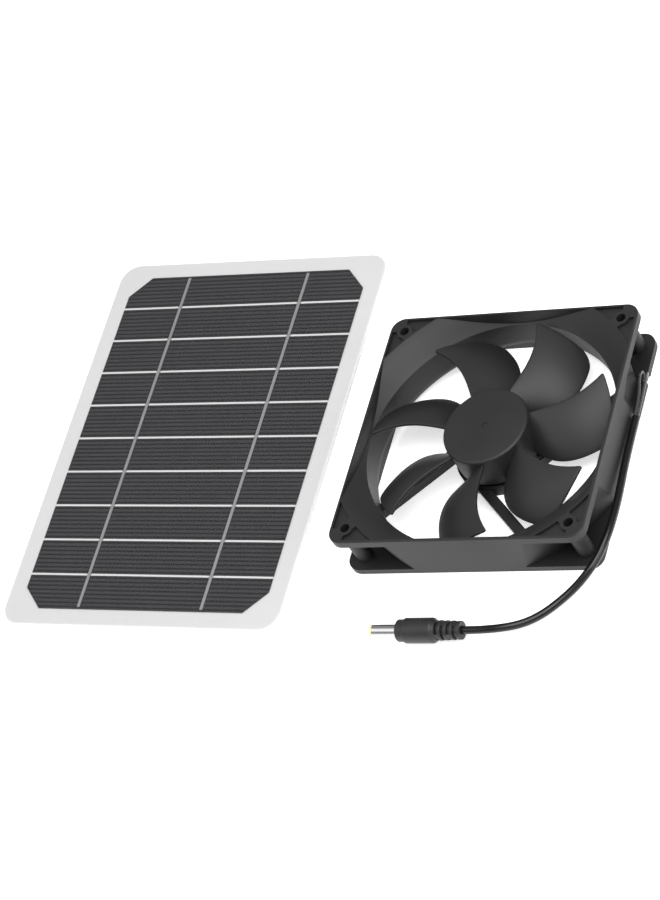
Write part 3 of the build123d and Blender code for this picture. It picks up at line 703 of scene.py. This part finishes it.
# ---- Row separators: white strips of back sheet pressed up between the rows of cells ----
# Each strip stops just short of the two busbars that cross it.
PANEL_MATRIX = (
    Matrix.Translation(PANEL_FOOT)
    @ Matrix.Rotation(radians(PANEL_TURN), 4, "Z")
    @ Matrix.Rotation(radians(PANEL_TILT), 4, "X")
)
ROWS = 10
ROW_GAP = 0.001
STRIP_WIDTH = ROW_GAP * 0.96
STRIP_THICK = 0.00046
STRIP_LEVEL = 0.00206
strip_spans = ((-0.0653, -0.0343), (-0.0319, 0.0319), (0.0343, 0.0653))
strip_shape = bmesh.new()
for row in range(1, ROWS):
    middle_y = ROW_FOOT + row * ROW_PITCH - ROW_GAP / 2
    for start, end in strip_spans:
        strip = bmesh.ops.create_cube(strip_shape, size=1.0)["verts"]
        bmesh.ops.scale(strip_shape, vec=(end - start, STRIP_WIDTH, STRIP_THICK), verts=strip)
        bmesh.ops.translate(strip_shape, vec=((start + end) / 2, middle_y, STRIP_LEVEL), verts=strip)
bmesh.ops.transform(strip_shape, matrix=PANEL_MATRIX, verts=strip_shape.verts)
separators = link("row_separators", finished_mesh("row_separators", strip_shape))
separators.data.materials.append(board_white)
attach(separators, "panel")

# ---- Busbars and output ribbons: tinned copper strip soldered over the cells ----
# Two busbars cross all ten rows; the ribbons behind them lead to the junction box.
ribbon_tin = bare_metal("ribbon_tin", (0.5, 0.5, 0.51), (0.66, 0.66, 0.67), 0.45, (4, 60, 4))
finish_node("front_busbars", ribbon_tin)
finish_node("output_ribbons", ribbon_tin)


# ---- Encapsulant and front film: clear resin with a thin matt film over it ----
# Both let the cells and the white board show; the film adds a soft, slightly uneven sheen.
def clear_layer(name, cover, roughness, depth):
    """A clear layer that covers a little of what lies below and has a faint orange-peel surface."""
    material, shader = new_material(name)
    add, join = nodes_of(material)
    place = panel_place(add, join)
    peel = add("ShaderNodeTexNoise")
    peel.inputs["Scale"].default_value = 450
    peel.inputs["Detail"].default_value = 3
    sheen = add("ShaderNodeMapRange")
    sheen.inputs["To Min"].default_value = roughness - 0.05
    sheen.inputs["To Max"].default_value = roughness + 0.08
    bump = add("ShaderNodeBump")
    bump.inputs["Strength"].default_value = 0.3
    bump.inputs["Distance"].default_value = depth
    join(place, peel.inputs["Vector"])
    join(peel.outputs["Fac"], sheen.inputs["Value"])
    join(sheen.outputs["Result"], shader.inputs["Roughness"])
    join(peel.outputs["Fac"], bump.inputs["Height"])
    join(bump.outputs["Normal"], shader.inputs["Normal"])
    shader.inputs["Base Color"].default_value = (0.12, 0.12, 0.125, 1)
    shader.inputs["Alpha"].default_value = cover
    return material


PANEL_W = 0.14846
PANEL_H = 0.19746
PANEL_CORNER = 0.0095
PANEL_MIDDLE = 0.09875
FILM_LEVEL = 0.002655
FILM_THICK = 0.00034
RESIN_LEVEL = 0.00182
RESIN_THICK = 0.00082
POCKET_MARGIN = 0.006
POCKET_DEEP = 0.00064


def sheet_face(shape, width, height, corner, level):
    """A flat rounded rectangle centred on the panel, at a height above its back face."""
    made = bmesh.ops.create_grid(shape, x_segments=1, y_segments=1, size=0.5)["verts"]
    bmesh.ops.scale(shape, vec=(width, height, 1), verts=made)
    bmesh.ops.translate(shape, vec=(0, PANEL_MIDDLE, level), verts=made)
    bmesh.ops.bevel(
        shape, geom=made, offset=corner, segments=12, profile=0.5, affect="VERTICES", material=-1
    )
    return shape.faces[:]


def raised(shape, faces, height):
    """Extrude faces straight up and give back the moved faces."""
    grown = bmesh.ops.extrude_face_region(shape, geom=faces)["geom"]
    points = [item for item in grown if isinstance(item, bmesh.types.BMVert)]
    bmesh.ops.translate(shape, vec=(0, 0, height), verts=points)
    return [item for item in grown if isinstance(item, bmesh.types.BMFace)]


film_shape = bmesh.new()
film_foot = sheet_face(film_shape, PANEL_W, PANEL_H, PANEL_CORNER, FILM_LEVEL)
film_top = raised(film_shape, film_foot, FILM_THICK)[0]
bmesh.ops.bevel(
    film_shape, geom=film_top.edges[:], offset=0.00012, segments=3, profile=0.5, affect="EDGES", material=-1
)
bmesh.ops.transform(film_shape, matrix=PANEL_MATRIX, verts=film_shape.verts)
film = link("film", finished_mesh("film", film_shape))
film.data.materials.append(clear_layer("panel_film", 0.035, 0.3, 0.00003))
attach(film, "panel")
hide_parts("front_film")

resin_shape = bmesh.new()
raised(resin_shape, sheet_face(resin_shape, PANEL_W, PANEL_H, PANEL_CORNER, RESIN_LEVEL), RESIN_THICK)
resin_foot = min(resin_shape.faces, key=lambda face: face.calc_center_median().z)
bmesh.ops.inset_region(resin_shape, faces=[resin_foot], thickness=POCKET_MARGIN)
bmesh.ops.translate(resin_shape, vec=(0, 0, POCKET_DEEP), verts=resin_foot.verts)
bmesh.ops.transform(resin_shape, matrix=PANEL_MATRIX, verts=resin_shape.verts)
resin = link("resin", finished_mesh("resin", resin_shape))
resin.data.materials.append(clear_layer("panel_resin", 0.02, 0.3, 0.00001))
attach(resin, "panel")
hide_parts("encapsulant")

# ---- Junction box: a small black moulding glued behind the panel, with gasket, lid and four screws ----
# Double-sided foam tape holds it; a silicone gasket lies between its rim and the lid.
box_plastic = moulded_plastic("box_plastic", (0.018, 0.018, 0.019), (0.027, 0.027, 0.028), 0.5, 2800)
finish_node("junction_box", box_plastic)
finish_node("box_lid", box_plastic)
foam_tape = moulded_plastic("foam_tape", (0.03, 0.03, 0.03), (0.06, 0.06, 0.06), 0.85, 2500, 0.00008, 900)
finish_node("box_adhesive", foam_tape)
gasket_silicone = moulded_plastic("gasket_silicone", (0.1, 0.1, 0.1), (0.14, 0.14, 0.14), 0.6)
finish_node("lid_gasket", gasket_silicone)
screw_steel = bare_metal("screw_steel", (0.5, 0.5, 0.5), (0.62, 0.62, 0.62), 0.3, (10, 10, 10))
finish_node("lid_screws", screw_steel)

# ---- Jack and terminal board: panel jack with its centre pin, diode and two short leads inside the box ----
# The pin is plated brass; the diode is a black glass-filled tube and the leads are red PVC.
finish_node("jack_shell", box_plastic)
pin_brass = bare_metal("pin_brass", (0.6, 0.52, 0.3), (0.7, 0.62, 0.4), 0.25, (5, 60, 5))
finish_node("jack_pin", pin_brass)
finish_node("terminal_board", board_green)
finish_node("blocking_diode", chip_epoxy)
red_vinyl = moulded_plastic("red_vinyl", (0.3, 0.012, 0.012), (0.38, 0.02, 0.02), 0.35, 1500)
finish_node("jack_leads", red_vinyl)
